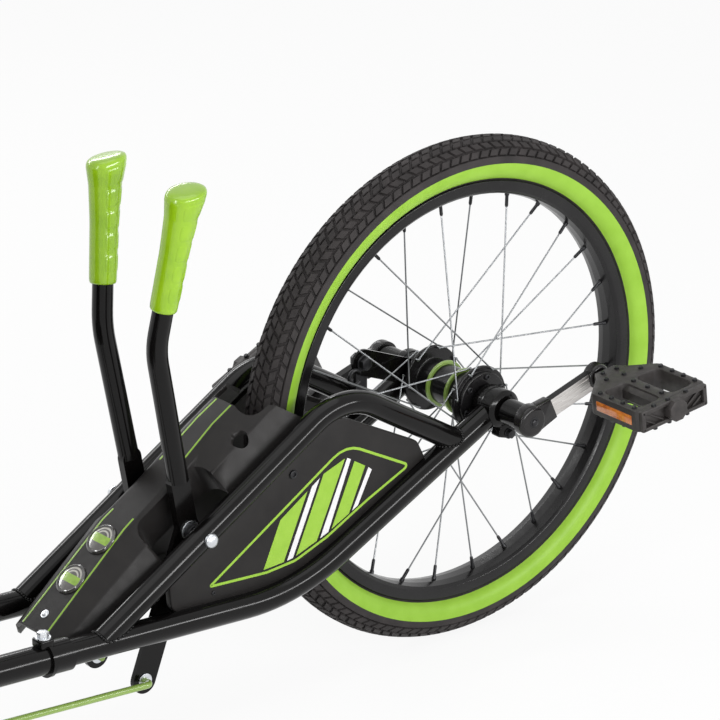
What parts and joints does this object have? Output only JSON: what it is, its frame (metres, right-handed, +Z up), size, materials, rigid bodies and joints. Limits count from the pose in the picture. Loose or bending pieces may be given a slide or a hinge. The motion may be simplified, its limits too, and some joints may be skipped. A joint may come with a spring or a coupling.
{
  "type": "pedal drift tricycle",
  "caption": "Low-slung pedal tricycle with a driven wire front wheel, bucket seat, twin steering levers and a swivelling rear axle on wide slick wheels.",
  "frame": {"origin": "on the floor under the middle of the overall length, on the middle plane", "axes": "+X forward towards the driven wheel, +Y to the rider's left, +Z up"},
  "size_m": [1.3309, 0.62, 0.5846],
  "materials": {
    "frame_paint": "gloss black powder coat",
    "crank_steel": "bright zinc-chrome flat bar",
    "fastener_zinc": "bright zinc plate",
    "spoke_steel": "drawn steel wire",
    "front_tyre_rubber": "black rubber with a lime sidewall band",
    "rim_paint": "satin black",
    "slick_plastic": "moulded black slick",
    "disc_plastic": "lime moulded disc",
    "cover_plastic": "fine-grained black moulding",
    "seat_plastic": "blow-moulded black",
    "grip_pvc": "soft lime PVC",
    "rod_paint": "lime enamel",
    "pedal_plastic": "moulded nylon",
    "reflector_amber": "amber prism lens",
    "dial_lens": "clear dome over a lime face"
  },
  "bodies": {
    "frame": {"frame_tube_right": "frame_paint", "frame_tube_left": "frame_paint", "bearing_cups": "frame_paint", "loop_tube_right": "frame_paint", "loop_tube_left": "frame_paint", "rear_tube_right": "frame_paint", "rear_tube_left": "frame_paint", "tube_collars": "frame_paint", "cross_tubes": "frame_paint", "brake_arm": "frame_paint", "brake_strap": "frame_paint", "lever_pivots": "fastener_zinc", "kingpin_bracket": "frame_paint", "centre_shroud": "cover_plastic", "dials": "dial_lens", "side_panel_right": "cover_plastic", "side_panel_left": "cover_plastic", "seat": "seat_plastic", "seat_saddles": "frame_paint", "seat_stays": "frame_paint"},
    "front_wheel": {"front_tyre": "front_tyre_rubber", "front_rim": "rim_paint", "front_hub": "rim_paint", "front_spokes": "spoke_steel"},
    "crank": {"crank_spindle": "frame_paint", "crank_bar_right": "crank_steel", "crank_bar_left": "crank_steel", "crank_caps_right": "pedal_plastic", "crank_caps_left": "pedal_plastic", "pedal_spindles": "fastener_zinc"},
    "pedal_right": {"pedal_right": "pedal_plastic", "reflectors_right": "reflector_amber"},
    "pedal_left": {"pedal_left": "pedal_plastic", "reflectors_left": "reflector_amber"},
    "lever_right": {"lever_right": "frame_paint", "grip_right": "grip_pvc"},
    "lever_left": {"lever_left": "frame_paint", "grip_left": "grip_pvc"},
    "rod_right": {"steering_rod_right": "rod_paint"},
    "rod_left": {"steering_rod_left": "rod_paint"},
    "rear_axle": {"rear_axle": "frame_paint"},
    "slick_right": {"slick_tyre_right": "slick_plastic", "slick_disc_right": "disc_plastic"},
    "slick_left": {"slick_tyre_left": "slick_plastic", "slick_disc_left": "disc_plastic"}
  },
  "joints": [
    {"name": "front_wheel_spin", "type": "hinge", "parent": "frame", "child": "front_wheel", "pos_m": [0.4115, 0, 0.254], "axis": [0, 1, 0], "continuous": true},
    {"name": "crank_spin", "type": "hinge", "parent": "frame", "child": "crank", "pos_m": [0.4115, 0, 0.254], "axis": [0, 1, 0], "continuous": true},
    {"name": "pedal_right_spin", "type": "hinge", "parent": "crank", "child": "pedal_right", "pos_m": [0.49565, -0.1665, 0.27973], "axis": [0, 1, 0], "continuous": true},
    {"name": "pedal_left_spin", "type": "hinge", "parent": "crank", "child": "pedal_left", "pos_m": [0.32735, 0.1665, 0.22827], "axis": [0, 1, 0], "continuous": true},
    {"name": "rear_steer", "type": "hinge", "parent": "frame", "child": "rear_axle", "pos_m": [-0.5385, 0, 0.127], "axis": [0, 0, 1], "range_deg": [-22, 22]},
    {"name": "slick_right_spin", "type": "hinge", "parent": "rear_axle", "child": "slick_right", "pos_m": [-0.5385, -0.265, 0.127], "axis": [0, 1, 0], "continuous": true},
    {"name": "slick_left_spin", "type": "hinge", "parent": "rear_axle", "child": "slick_left", "pos_m": [-0.5385, 0.265, 0.127], "axis": [0, 1, 0], "continuous": true},
    {"name": "lever_right_pull", "type": "hinge", "parent": "frame", "child": "lever_right", "pos_m": [0.0545, -0.037, 0.213], "axis": [0, 1, 0], "range_deg": [-11, 11]},
    {"name": "lever_left_pull", "type": "hinge", "parent": "frame", "child": "lever_left", "pos_m": [0.0545, 0.037, 0.213], "axis": [0, 1, 0], "range_deg": [-11, 11]},
    {"name": "rod_right_swing", "type": "hinge", "parent": "lever_right", "child": "rod_right", "pos_m": [0.0015, -0.037, 0.074], "axis": [0, 1, 0], "range_deg": [-12.1, 12.1]},
    {"name": "rod_left_swing", "type": "hinge", "parent": "lever_left", "child": "rod_left", "pos_m": [0.0015, 0.037, 0.074], "axis": [0, 1, 0], "range_deg": [-12.1, 12.1]}
  ],
  "couplings": [
    {"joint": "lever_right_pull", "follows": "rear_steer", "ratio": -0.5},
    {"joint": "lever_left_pull", "follows": "rear_steer", "ratio": 0.5},
    {"joint": "rod_right_swing", "follows": "rear_steer", "ratio": 0.549},
    {"joint": "rod_left_swing", "follows": "rear_steer", "ratio": -0.549}
  ]
}
